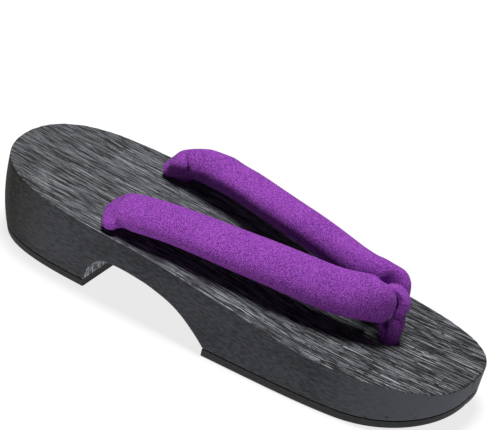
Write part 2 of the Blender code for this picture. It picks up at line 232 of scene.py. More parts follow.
@dataclass(frozen=True)
class PlanedWood:
    """The same wood planed and sanded on its sides.

    It is matte and even, with a few dark pores drawn out along the grain, and towards the toe its sides are
    painted lighter as painted light. The end grain at the heel's back
    took up the stain unevenly, and the arch's face on the heel block keeps pale slanting tool scratches.
    Its sizes are in millimetres, and the grit of the end grain is drawn coarser than the real pores.
    """

    body: str = "#323338"
    light: str = "#4c4d52"
    pore: str = "#17181a"
    end_dark: str = "#050504"
    # Painted light: the sides' lighter colour at the toe, as if lit from the front.
    end_grain: str = "#15130c"
    end_light: str = "#3d3826"
    toe: str = "#5a5c63"
    scratch: str = "#b0b3b8"
    nap_size: Triple = (3.0, 2.0, 0.9)
    cloud_size: Triple = (60.0, 20.0, 14.0)
    pore_size: Triple = (9.0, 3.0, 0.7)
    grit_size: Triple = (1.3, 1.3, 3.2)
    scratch_size: Triple = (3.0, 0.5, 9.0)
    lit_toe_start: float = 0.060
    lit_toe_full: float = 0.112
    roughness: float = 0.75

    def build(self) -> bpy.types.Material:
        """Make the sides' material."""
        material, tree, shader = new_material("black_stained_planed_paulownia")
        normal = add_node(tree, "NewGeometry", out="Normal")
        facing = add_node(tree, "SeparateXYZ", links={0: normal})
        back = add_node(tree, "Math", {"operation": "MULTIPLY", 1: -1.0}, {0: facing})
        back = add_node(tree, "ValToRGB", {"stops": [(0.15, 0.0), (0.55, 1.0)]}, {0: back})
        place = add_node(tree, "TexCoord", out="Object")
        along = add_node(tree, "SeparateXYZ", links={0: place})
        heel = add_node(tree, "Math", {"operation": "LESS_THAN", 1: 0.0}, {0: along})
        front = add_node(tree, "ValToRGB", {"stops": [(0.35, 0.0), (0.70, 1.0)]}, {0: facing})
        front = add_node(tree, "Math", {"operation": "MULTIPLY"}, {0: front, 1: heel})
        nap = add_node(tree, "Math", {"operation": "MULTIPLY", 1: 0.7}, {0: pattern(tree, self.nap_size)})
        nap = add_node(tree, "Math", {"operation": "MULTIPLY_ADD", 1: 0.3},
                       {0: pattern(tree, self.cloud_size), 2: nap})
        stops = [(0.40, self.body), (0.60, self.light)]
        body = add_node(tree, "ValToRGB", {"stops": stops}, {0: nap})
        # Painted light: the sides blend to the lighter toe colour towards the toe.
        toe = add_node(tree, "MapRange", {"From Min": self.lit_toe_start, "From Max": self.lit_toe_full}, {0: along})
        body = add_node(tree, "Mix", {"data_type": "RGBA", 7: linear(self.toe)}, {0: toe, 6: body}, 2)
        dashes = pattern(tree, self.pore_size, 3.0, 0.65, (0.0, 6.0, 0.0))
        dashes = add_node(tree, "ValToRGB", {"stops": [(0.30, 1.0), (0.37, 0.0)]}, {0: dashes})
        side = add_node(tree, "Mix", {"data_type": "RGBA", 7: linear(self.pore)}, {0: dashes, 6: body}, 2)
        grit = pattern(tree, self.grit_size, 3.0, 0.75, (0.0, 30.0, 0.0))
        stops = [(0.45, self.end_dark), (0.53, self.end_grain), (0.66, self.end_light)]
        end = add_node(tree, "ValToRGB", {"stops": stops}, {0: grit})
        side = add_node(tree, "Mix", {"data_type": "RGBA"}, {0: back, 6: side, 7: end}, 2)
        marks = pattern(tree, self.scratch_size, turn=(35.0, 0.0, 0.0))
        marks = add_node(tree, "ValToRGB", {"stops": [(0.50, 0.0), (0.58, 1.0)]}, {0: marks})
        marks = add_node(tree, "Math", {"operation": "MULTIPLY"}, {0: marks, 1: front})
        side = add_node(tree, "Mix", {"data_type": "RGBA", 7: linear(self.scratch)}, {0: marks, 6: side}, 2)
        height = add_node(tree, "Math", {"operation": "SUBTRACT"}, {0: grit, 1: dashes})
        bump = add_node(tree, "Bump", {"Strength": 0.5, "Distance": 0.3 * MM}, {"Height": height})
        set_up(tree, shader, {"Roughness": self.roughness, "Specular IOR Level": 0.2},
               {"Base Color": side, "Normal": bump})
        return material


@dataclass(frozen=True)
class SoleRubber:
    """Black sheet rubber, cut and glued: matte, nearly even, with a dusty grey cast."""

    body: str = "#27282a"
    dust: str = "#343536"
    grain_size: Triple = (1.6, 1.6, 1.6)
    roughness: float = 0.78

    def build(self) -> bpy.types.Material:
        """Make the soles' material."""
        material, tree, shader = new_material("black_sheet_rubber")
        grain = pattern(tree, self.grain_size, 3.0)
        stops = [(0.40, self.body), (0.75, self.dust)]
        colour = add_node(tree, "ValToRGB", {"stops": stops}, {0: grain})
        bump = add_node(tree, "Bump", {"Strength": 0.2, "Distance": 0.1 * MM}, {"Height": grain})
        set_up(tree, shader, {"Roughness": self.roughness}, {"Base Color": colour, "Normal": bump})
        return material


@dataclass(frozen=True)
class CrepeCloth:
    """Purple cotton crepe over wadding: matte, with a slight bloom where the nap catches the light.

    Light and dark threads alternate in a slanting weave, which is drawn coarse enough to show as speckle.
    Its sizes are in millimetres.
    """

    light: str = "#ae5cca"
    body: str = "#8a3ca6"
    dark: str = "#5a2476"
    bloom: str = "#d9a8ea"
    thread: Triple = (0.58, 0.30, 0.42)
    fade_size: Triple = (12.0, 12.0, 12.0)
    roughness: float = 0.90

    def build(self) -> bpy.types.Material:
        """Make the cloth."""
        material, tree, shader = new_material("purple_cotton_crepe")
        weave = pattern(tree, self.thread, 1.0, 0.5, (0.0, 0.0, 50.0))
        cross = pattern(tree, self.thread, 1.0, 0.5, (0.0, 0.0, -40.0))
        speck = add_node(tree, "Math", {"operation": "ADD"}, {0: weave, 1: cross})
        soft = pattern(tree, self.fade_size)
        tone = add_node(tree, "Math", {"operation": "MULTIPLY_ADD", 1: 0.12}, {0: soft, 2: speck})
        tone = add_node(tree, "Math", {"operation": "MULTIPLY", 1: 0.476}, {0: tone})
        stops = [(0.42, self.dark), (0.505, self.body), (0.60, self.light)]
        colour = add_node(tree, "ValToRGB", {"stops": stops}, {0: tone})
        bump = add_node(tree, "Bump", {"Strength": 0.5, "Distance": 0.25 * MM}, {"Height": speck})
        set_up(tree, shader, {"Roughness": self.roughness, "Specular IOR Level": 0.15, "Sheen Weight": 0.12,
                              "Sheen Roughness": 0.45, "Sheen Tint": linear(self.bloom)},
               {"Base Color": colour, "Normal": bump})
        return material


def deselect() -> None:
    """Deselect every object."""
    bpy.ops.object.select_all(action="DESELECT")


def choose(*things: bpy.types.Object) -> None:
    """Select only these objects and make the first of them active."""
    deselect()
    for thing in things:
        thing.select_set(True)
    bpy.context.view_layer.objects.active = things[0]


def apply_modifier(thing: bpy.types.Object, kind: str, **settings: object) -> None:
    """Add a modifier with its settings and apply it.

    Args:
        thing: The object.
        kind: The modifier's type.
        settings: Attributes of the modifier.
    """
    choose(thing)
    modifier = thing.modifiers.new(kind.lower(), kind)
    for key, value in settings.items():
        setattr(modifier, key, value)
    bpy.ops.object.modifier_apply(modifier=modifier.name)


def sweep(name: str, sections: Sequence[Sequence[Vector]]) -> bpy.types.Object:
    """Extrude a circle from section to section, as by hand, into one closed body.

    Args:
        name: The piece's name.
        sections: The points of each section, as many in each.

    Returns:
        The new object, with its normals facing out.
    """
    deselect()
    bpy.ops.mesh.primitive_circle_add(vertices=len(sections[0]), radius=MM, fill_type="NGON")
    made = bpy.context.active_object
    made.name = made.data.name = name
    bpy.ops.object.mode_set(mode="EDIT")
    cage = bmesh.from_edit_mesh(made.data)
    turn = cage.verts.layers.int.new("turn")
    for vert in cage.verts:
        vert[turn] = vert.index
        vert.co = sections[0][vert.index]
    bmesh.update_edit_mesh(made.data)
    bpy.ops.mesh.select_all(action="SELECT")
    for section in sections[1:]:
        bpy.ops.mesh.extrude_region_move()
        cage = bmesh.from_edit_mesh(made.data)
        turn = cage.verts.layers.int["turn"]
        for vert in [v for v in cage.verts if v.select]:
            vert.co = section[vert[turn]]
        bmesh.update_edit_mesh(made.data)
    bpy.ops.mesh.select_all(action="SELECT")
    bpy.ops.mesh.normals_make_consistent(inside=False)
    bpy.ops.object.mode_set(mode="OBJECT")
    made.data.attributes.remove(made.data.attributes["turn"])
    return made


def add_drill(start: Vector, end: Vector, radius: float) -> bpy.types.Object:
    """Add a cylinder to cut with.

    Args:
        start: The middle of one end.
        end: The middle of the other end.
        radius: Its radius.

    Returns:
        The cutter.
    """
    deselect()
    way = end - start
    bpy.ops.mesh.primitive_cylinder_add(vertices=48, radius=radius, depth=way.length)
    drill = bpy.context.active_object
    turn = way.to_track_quat("Z", "Y").to_matrix().to_4x4()
    drill.matrix_world = Matrix.Translation((start + end) / 2) @ turn
    bpy.ops.object.transform_apply(location=True, rotation=True, scale=True)
    return drill


def drill_out(thing: bpy.types.Object, drills: Sequence[bpy.types.Object]) -> None:
    """Cut a piece with each drill in turn.

    Args:
        thing: The piece.
        drills: The cutters, which are deleted.
    """
    for drill in drills:
        apply_modifier(thing, "BOOLEAN", operation="DIFFERENCE", solver="EXACT", object=drill)
        bpy.data.objects.remove(drill)


def press(thing: bpy.types.Object, line: Sequence[Vector], depth: float, reach: float) -> None:
    """Press a soft trough into a piece, or raise a ridge where the depth is negative.

    Args:
        thing: The piece.
        line: The points that the crease runs through.
        depth: How deep it is.
        reach: How far to each side of the line it is felt.
    """
    ways = [vert.normal.copy() for vert in thing.data.vertices]
    for vert, way in zip(thing.data.vertices, ways):
        near = []
        for start, end in zip(line, line[1:]):
            share = geometry.intersect_point_line(vert.co, start, end)[1]
            foot = start.lerp(end, unit(share))
            near.append((vert.co - foot).length)
        away = min(near) / reach
        if away < 3:
            vert.co -= way * (depth * math.exp(-away * away))


def finish_piece(thing: bpy.types.Object, nodes: Sequence[str], angle: float = 180.0) -> None:
    """Shade a piece smooth, ride it on the sandal in place of its CAD nodes, and report it.

    Args:
        thing: The finished piece.
        nodes: The CAD nodes that it stands for.
        angle: Edges past this angle, in degrees, stay sharp.
    """
    choose(thing)
    bpy.ops.object.shade_smooth_by_angle(angle=math.radians(angle))
    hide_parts(*nodes)
    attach(thing, "root")
    log.info("%s: %d faces", thing.name, len(thing.data.polygons))


def through_rows(rows: Sequence[tuple[float, float]], place: float) -> float:
    """Read a table of (place, value) rows on a smooth line that never overshoots a row.

    Args:
        rows: The table, in order of place.
        place: Where to read it.

    Returns:
        The value there.
    """
    places = [row[0] for row in rows]
    values = [row[1] for row in rows]
    steps = [(values[i + 1] - values[i]) / (places[i + 1] - places[i]) for i in range(len(rows) - 1)]
    slopes = [steps[0]]
    for before, after in zip(steps, steps[1:]):
        slopes.append(0.0 if before * after <= 0 else 2 * before * after / (before + after))
    slopes.append(steps[-1])
    place = min(max(place, places[0]), places[-1])
    i = max(k for k in range(len(rows) - 1) if places[k] <= place)
    span = places[i + 1] - places[i]
    t = (place - places[i]) / span
    start = values[i] * (1 + 2 * t) * (1 - t) ** 2 + slopes[i] * span * t * (1 - t) ** 2
    end = values[i + 1] * t * t * (3 - 2 * t) - slopes[i + 1] * span * t * t * (1 - t)
    return start + end


def between_rows(rows: Sequence[Sequence[float]], steps: int) -> list[tuple[float, ...]]:
    """Fill each stretch between rows with sections on a Catmull-Rom curve, all columns alike.

    Args:
        rows: The table.
        steps: How many sections each stretch gets.

    Returns:
        The longer table.
    """
    filled = []
    last = len(rows) - 1
    for i in range(last):
        around = rows[max(i - 1, 0)], rows[i], rows[i + 1], rows[min(i + 2, last)]
        for k in range(steps):
            t = k / steps
            filled.append(tuple(
                b + t * (c - a) / 2 + t * t * (a - 2.5 * b + 2 * c - d / 2)
                + t**3 * (1.5 * (b - c) + (d - a) / 2)
                for a, b, c, d in zip(*around)
            ))
    filled.append(tuple(rows[last]))
    return filled


def turned_ring(centre: Vector, across: Vector, up: Vector, half_width: float, half_height: float,
                points: int, power: float = 2.0) -> list[Vector]:
    """A ring of points round a centre, starting at across and turning towards up.

    Args:
        centre: The ring's middle.
        across: Direction of its width.
        up: Direction of its height.
        half_width: Half its width.
        half_height: Half its height.
        points: How many points it has.
        power: 2 for an ellipse, and more for a ring with fuller corners.

    Returns:
        The points.
    """
    ring = []
    for k in range(points):
        turn = 2 * math.pi * k / points
        side = math.copysign(abs(math.cos(turn)) ** (2 / power), math.cos(turn))
        rise = math.copysign(abs(math.sin(turn)) ** (2 / power), math.sin(turn))
        ring.append(centre + across * (half_width * side) + up * (half_height * rise))
    return ring


def end_stations(start: float, end: float, count: int) -> list[float]:
    """Stations from start to end, closer together towards end, where the outline turns in."""
    return [start + (end - start) * math.sin(math.pi / 2 * k / count) for k in range(count + 1)]


@dataclass
class Form:
    """The carved form of the sandal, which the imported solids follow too."""

    width: float
    heel_height: float
    rubber: float
    heel_front: float
    forefoot_back: float
    length: float = 0.240
    ball_height: float = 0.0229
    arch_height: float = 0.0215
    heel_taper: float = 0.008
    heel_taper_power: float = 1.5
    heel_tuck: float = 0.005
    heel_tuck_power: int = 4
    heel_tuck_bend: int = 3
    heel_flare: float = 0.0008
    toe_tuck: float = 0.0019
    toe_spring: float = 0.0095
    spring_length: float = 0.045
    gap: float = 0.0003
    widest_share: float = 0.43
    toe_curve: tuple[float, float] = (3.5, 0.365)
    heel_curve: tuple[float, float] = (6.0, 0.475)
    end_share: float = 0.99999
    deck_rows: tuple = ((-1.000, 1.000), (-0.625, 0.815), (-0.250, 0.690), (0.125, 0.360), (0.500, 0.028),
                        (0.750, 0.000), (1.000, 0.035))
    arch_rows: tuple = ((0.000, 0.000), (0.017, 0.230), (0.049, 0.514), (0.093, 0.777), (0.148, 0.926),
                        (0.207, 0.977), (0.304, 1.000), (0.464, 0.966), (0.628, 0.846), (0.713, 0.743),
                        (0.799, 0.583), (0.886, 0.360), (0.957, 0.149), (1.000, 0.000))

    @classmethod
    def from_frame(cls) -> "Form":
        """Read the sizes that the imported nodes' boxes give."""
        base_low, base_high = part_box("wood_base")
        heel_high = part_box("heel_rubber_sole")[1]
        forefoot_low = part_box("forefoot_rubber_sole")[0]
        return cls(width=base_high.y - base_low.y, heel_height=base_high.z, rubber=base_low.z,
                   heel_front=heel_high.x, forefoot_back=forefoot_low.x)

    @property
    def half_length(self) -> float:
        """Half the base's length."""
        return self.length / 2

    @property
    def half_width(self) -> float:
        """Half the base's width."""
        return self.width / 2

    def half_outline(self, x: float) -> float:
        """Half the deck's width at x."""
        widest = self.half_length - self.widest_share * self.length
        if x > widest:
            share = (x - widest) / (self.half_length - widest)
            power, root = self.toe_curve
        else:
            share = (widest - x) / (self.half_length + widest)
            power, root = self.heel_curve
        return self.half_width * max(1 - share**power, 0.0) ** root

    def deck_height(self, x: float) -> float:
        """Height of the deck over the floor at x."""
        drop = self.heel_height - self.ball_height
        return self.ball_height + drop * through_rows(self.deck_rows, x / self.half_length)

    def toe_lift(self, x: float) -> float:
        """How far the sole's underside leaves the floor at x, at the toe."""
        share = max(0.0, (x - self.half_length + self.spring_length) / self.spring_length)
        return self.toe_spring * share * share

    def underside(self, x: float) -> float:
        """Height of the wood's underside at x: heel, arch, then forefoot."""
        if x <= self.heel_front:
            return self.rubber
        if x >= self.forefoot_back:
            return self.rubber + self.toe_lift(x)
        share = (x - self.heel_front) / (self.forefoot_back - self.heel_front)
        return self.rubber + (self.arch_height - self.rubber) * through_rows(self.arch_rows, share)

    def side_point(self, x: float, z: float, inset: float) -> Vector:
        """Point of the left side at station x and height z, drawn in by inset from the outline.

        Args:
            x: Station along the length.
            z: Height over the floor.
            inset: How far inside the outline.

        Returns:
            The point.
        """
        past_heel = unit((x - self.heel_front) / (self.forefoot_back - self.heel_front))
        depth = max(1 - z / self.deck_height(x), 0.0)
        taper = self.heel_taper * (1 - past_heel) ** self.heel_taper_power * depth
        ahead = max(x / self.half_length, 0.0)
        behind = max(-x / self.half_length, 0.0) ** self.heel_tuck_power
        tuck = self.toe_tuck * ahead * depth
        flare = self.heel_flare * 4 * depth * (1 - depth)
        tuck += behind * (self.heel_tuck * depth**self.heel_tuck_bend - flare)
        x_share = 1 - (inset + tuck) / self.half_length
        y_share = 1 - (inset + taper) / self.half_width
        return Vector((x * x_share, self.half_outline(x) * y_share, z))

    def foot_arc(self, x: float, low: float, radius: float, steps: int) -> list[Vector]:
        """The left side's rounded lower edge.

        Args:
            x: Station along the length.
            low: Height of the face under it.
            radius: The rounding's radius.
            steps: Steps in it.

        Returns:
            Its points, from the top down.
        """
        turns = [math.pi / 2 * k / steps for k in range(steps + 1)]
        return [self.side_point(x, low + radius * (1 - math.sin(turn)), radius * (1 - math.cos(turn)))
                for turn in turns]

    def heel_stations(self, count: int) -> list[float]:
        """Stations from the heel's back to its front."""
        return end_stations(self.heel_front, -self.half_length * self.end_share, count)[::-1]

    def toe_stations(self, count: int) -> list[float]:
        """Stations from the forefoot's back to the toe."""
        return end_stations(self.forefoot_back, self.half_length * self.end_share, count)


@dataclass
class StrapRun:
    """Where the straps run: from the rear holes to the waist in front, which the toe loop holds."""

    form: Form
    rear_x: float = -0.052
    rear_y: float = 0.0308
    front_x: float = 0.077
    hole_radius: float = 0.0045
    lean_forward: float = math.radians(28)
    lean_inward: float = math.radians(12)
    width: float = 0.0226
    thickness: float = 0.0150
    rise: float = 0.0204
    parting: float = 0.0003
    tail_peep: float = 0.0006
    waist_along: float = 0.981
    waist_rise: float = 0.93
    waist_half_height: float = 0.0041
    waist_half_width: float = 0.0025
    loop_width: float = 0.0078
    loop_thickness: float = 0.0047
    knot_angles: tuple = (-80, -55, -28, 0, 25)
    knot_shoulder: float = 52
    knot_clearance: float = 0.0013
    rear_knot: float = 0.0058
    rear_recess: float = 0.0050
    front_recess: float = 0.0090
    front_knot: float = 0.0075
    front_knot_half_height: float = 0.0036
    rows: tuple = (
        (-0.008, 0.985, 0.083, 0.92, 0.60, 22, 88, 0),
        (-0.008, 0.985, 0.191, 1.09, 0.70, 28, 78, 2),
        (0.014, 0.992, 0.335, 1.09, 0.77, 28, 52, 5),
        (0.057, 0.992, 0.455, 1.06, 0.86, 24, 21, 8),
        (0.118, 0.965, 0.535, 1.02, 0.89, 17, 10, 10),
        (0.233, 0.890, 0.626, 1.00, 0.90, 14, 3, 13),
        (0.403, 0.753, 0.716, 1.00, 0.94, 13, -3, 18),
        (0.636, 0.558, 0.838, 0.98, 1.03, 13, -5, 30),
        (0.791, 0.396, 0.882, 0.96, 1.07, 11, -2, 44),
        (0.868, 0.312, 0.941, 0.96, 1.05, 8, 2, 58),
        (0.916, 0.269, 0.990, 0.96, 0.97, 9, 0, 78),
        (0.950, 0.276, 1.005, 0.95, 0.72, 38, 0, 90),
        (0.976, 0.230, 1.010, 0.88, 0.62, 60, 0, 90),
    )
    waist_rows: tuple = ((0.680, 1.80, 1.55, 0.055), (0.590, 1.50, 1.38, 0.050), (0.548, 1.00, 1.00, 0.000),
                         (0.300, 1.00, 1.00, 0.000), (0.000, 1.00, 1.00, 0.000))

    @property
    def tail_radius(self) -> float:
        """Radius of a cord tail in its hole."""
        return self.hole_radius - self.form.gap

    def rear_axis(self, side: Side) -> tuple[Vector, Vector]:
        """Mouth of a rear hole, and the way it runs down and forward."""
        mouth = Vector((self.rear_x, side.value * self.rear_y, self.form.deck_height(self.rear_x)))
        way = Vector((math.tan(self.lean_forward), -side.value * math.tan(self.lean_inward), -1.0))
        return mouth, way.normalized()

    def rear_knot_centre(self, side: Side) -> Vector:
        """Centre of a rear knot, just under the roof of its recess."""
        mouth, way = self.rear_axis(side)
        height = self.form.arch_height + self.rear_recess - self.form.gap - self.rear_knot
        return mouth + way * ((height - mouth.z) / way.z)

    def waist_centre(self) -> Vector:
        """Middle of the narrow waist that the toe loop holds."""
        x = self.rear_x + self.waist_along * (self.front_x - self.rear_x)
        return Vector((x, 0, self.form.deck_height(x) + self.waist_rise * self.rise))

    def tail(self, knot: Vector, mouth: Vector, radius: float, half_height: float, size: float,
             points: int) -> list[list[Vector]]:
        """Rings from a knot's far end, over the knot, up its tail to a level ring at the mouth.

        Args:
            knot: The knot's centre.
            mouth: The tail's upper end.
            radius: The tail's radius.
            half_height: Half the knot's height along the tail.
            size: The knot's radius.
            points: Points in each ring.

        Returns:
            The rings.
        """
        way = (mouth - knot).normalized()
        across = (Vector((0, 1, 0)) - way * way.y).normalized()
        up = way.cross(across)
        rings = []
        for angle in self.knot_angles:
            place = knot + way * (half_height * math.sin(math.radians(angle)))
            reach = size * math.cos(math.radians(angle))
            rings.append(turned_ring(place, across, up, reach, reach, points))
        shoulder = knot + way * (half_height * math.sin(math.radians(self.knot_shoulder)))
        rings.append(turned_ring(shoulder, across, up, radius, radius, points))
        rings.append([p + way * ((mouth.z - p.z) / way.z) for p in rings[-1]])
        return rings

    def rear_drills(self, side: Side) -> list[bpy.types.Object]:
        """The drill of a rear hole and the one of its knot's recess under the arch."""
        mouth, way = self.rear_axis(side)
        knot = self.rear_knot_centre(side)
        size = self.rear_knot + self.knot_clearance
        below = Vector((knot.x, knot.y, self.form.rubber))
        roof = Vector((knot.x, knot.y, self.form.arch_height + self.rear_recess))
        return [add_drill(mouth - way * 0.010, knot, self.hole_radius), add_drill(below, roof, size)]

    def front_drill(self) -> bpy.types.Object:
        """The drill of the front hole, right through."""
        top = Vector((self.front_x, 0, self.form.deck_height(self.front_x) + 0.010))
        return add_drill(Vector((self.front_x, 0, -0.010)), top, self.hole_radius)

    def front_recess_drill(self) -> bpy.types.Object:
        """The drill of the front knot's recess, through the rubber and into the wood."""
        roof = Vector((self.front_x, 0, self.form.rubber + self.front_recess))
        return add_drill(Vector((self.front_x, 0, -0.010)), roof, self.front_knot + self.knot_clearance)


@dataclass
class WoodBase:
    """The carved base: brushed deck, planed sides, heel block, arch and drilled strap holes.

    A thin pale line is painted on the rim between the pale stretch's start and end, and the rim is chipped
    ahead of them. Each of the grains has its length, its width and a seed.
    """

    form: Form
    run: StrapRun
    deck_columns: int = 220
    side_levels: int = 12
    floor_columns: int = 12
    rim_radius: float = 0.0006
    foot_radius: float = 0.0006
    arc_steps: int = 3
    heel_steps: int = 44
    arch_steps: int = 36
    toe_steps: int = 66
    ridge_height: float = 0.00016
    pale_rim_start: float = -0.075
    pale_rim_end: float = 0.020
    pale_rim_fade: float = 0.015
    pale_rim_patch: float = 0.012
    chip: float = 0.0016
    grain_contrast: float = 1.1
    grains: tuple = ((0.040, 0.0009, 3.1), (0.012, 0.0007, 8.7))

    def section(self, x: float) -> list[Vector]:
        """One closed section across the base, from the deck's left edge round to it again.

        Args:
            x: Station along the length.

        Returns:
            Its points.
        """
        form = self.form
        top = form.deck_height(x)
        low = form.underside(x)
        left = []
        for k in range(self.arc_steps + 1):
            turn = math.pi / 2 * k / self.arc_steps
            left.append(form.side_point(x, top - self.rim_radius * (1 - math.cos(turn)),
                                        self.rim_radius * (1 - math.sin(turn))))
        start = top - self.rim_radius
        end = low + self.foot_radius
        for k in range(1, self.side_levels):
            left.append(form.side_point(x, start + (end - start) * k / self.side_levels, 0.0))
        left += form.foot_arc(x, low, self.foot_radius, self.arc_steps)
        right = [Vector((p.x, -p.y, p.z)) for p in left]
        floor = [left[-1].lerp(right[-1], k / self.floor_columns) for k in range(1, self.floor_columns)]
        deck = [right[0].lerp(left[0], k / self.deck_columns) for k in range(1, self.deck_columns)]
        return left + floor + right[::-1] + deck

    def stations(self) -> list[float]:
        """Stations from the heel's back to the toe."""
        form = self.form
        span = form.forefoot_back - form.heel_front
        arch = [form.heel_front + span * (k / self.arch_steps) ** 1.5 for k in range(1, self.arch_steps)]
        return form.heel_stations(self.heel_steps) + arch + form.toe_stations(self.toe_steps)

    def grain(self, x: float, y: float) -> float:
        """The brushed grain's relief, from about -1 in a groove to 1 on a ridge.

        Args:
            x: Place along the length.
            y: Place across.

        Returns:
            The relief there.
        """
        level = sum(noise.noise(Vector((x / length, y / width, seed))) for length, width, seed in self.grains)
        return max(-1.0, min(1.0, self.grain_contrast * level))

    def brush_deck(self, base: bpy.types.Object) -> None:
        """Raise the grain on the deck, and keep its relief, the rim's painted pale line and its chips for the
        finish.

        Args:
            base: The base.
        """
        marks = []
        for vert in base.data.vertices:
            x, y, z = vert.co
            depth = self.form.deck_height(x) - z
            share = max(0.0, 1 - depth / (4 * self.rim_radius))
            level = self.grain(x, y) * share
            vert.co.z += self.ridge_height * level
            # The rim's thin pale line, painted in patches between its start and end.
            pale_patchiness = 0.5 + noise.noise(Vector((x / self.pale_rim_patch, y / self.pale_rim_patch, 1.7)))
            on_rim = float(0.1 * self.rim_radius < depth < 1.1 * self.rim_radius)
            rear = unit((self.pale_rim_end - x) / self.pale_rim_fade)
            middle = rear * unit((x - self.pale_rim_start) / self.pale_rim_fade)
            rough = noise.noise(Vector((x / self.chip, y / self.chip, 6.1)))
            marks.append((0.5 + 0.5 * level, on_rim * middle * unit(pale_patchiness),
                          on_rim * (1 - rear) * unit(0.3 + 2 * rough)))
        for name, values in zip(DECK_MARKS, zip(*marks)):
            base.data.attributes.new(name, "FLOAT", "POINT").data.foreach_set("value", values)

    def build(self) -> bpy.types.Object:
        """Make the base.

        Returns:
            The finished piece.
        """
        base = sweep("carved_wood_base", [self.section(x) for x in self.stations()])
        self.brush_deck(base)
        drills = self.run.rear_drills(Side.LEFT) + self.run.rear_drills(Side.RIGHT)
        drill_out(base, [*drills, self.run.front_drill(), self.run.front_recess_drill()])
        base.data.materials.append(BrushedWood().build())
        base.data.materials.append(PlanedWood().build())
        for face in base.data.polygons:
            high = self.form.deck_height(face.center.x) - face.center.z < self.rim_radius
            up = face.normal.z > 0.3
            face.material_index = Facing.DECK.value if high and up else Facing.SIDE.value
        finish_piece(base, ["wood_base"], 40)
        return base


@dataclass
class RubberSole:
    """One sheet of rubber glued under the wood."""

    form: Form
    name: str
    node: str
    stations: list[float]
    edge_radius: float = 0.0008
    arc_steps: int = 3

    def section(self, x: float) -> list[Vector]:
        """One closed section across the sheet.

        Args:
            x: Station along the length.

        Returns:
            Its points.
        """
        form = self.form
        low = form.toe_lift(x)
        top = low + form.rubber - form.gap
        left = [form.side_point(x, top, 0.0), form.side_point(x, (top + low) / 2, 0.0)]
        left += form.foot_arc(x, low, self.edge_radius, self.arc_steps)
        right = [Vector((p.x, -p.y, p.z)) for p in left]
        return left + right[::-1]

    def build(self, finish: bpy.types.Material, drills: Sequence[bpy.types.Object] = ()) -> bpy.types.Object:
        """Make the sheet.

        Args:
            finish: The rubber.
            drills: What is cut out of it.

        Returns:
            The finished piece.
        """
        sole = sweep(self.name, [self.section(x) for x in self.stations])
        drill_out(sole, drills)
        sole.data.materials.clear()
        sole.data.materials.append(finish)
        finish_piece(sole, [self.node], 35)
        return sole


@dataclass(frozen=True)
class Crease:
    """A fold in the cloth, as a line of places with a depth and a reach, all in millimetres.

    A place is ahead of the rear hole, out from the middle and up from the deck. A negative depth is a ridge.
    """

    side: Side
    places: tuple[Triple, ...]
    depth: float
    reach: float


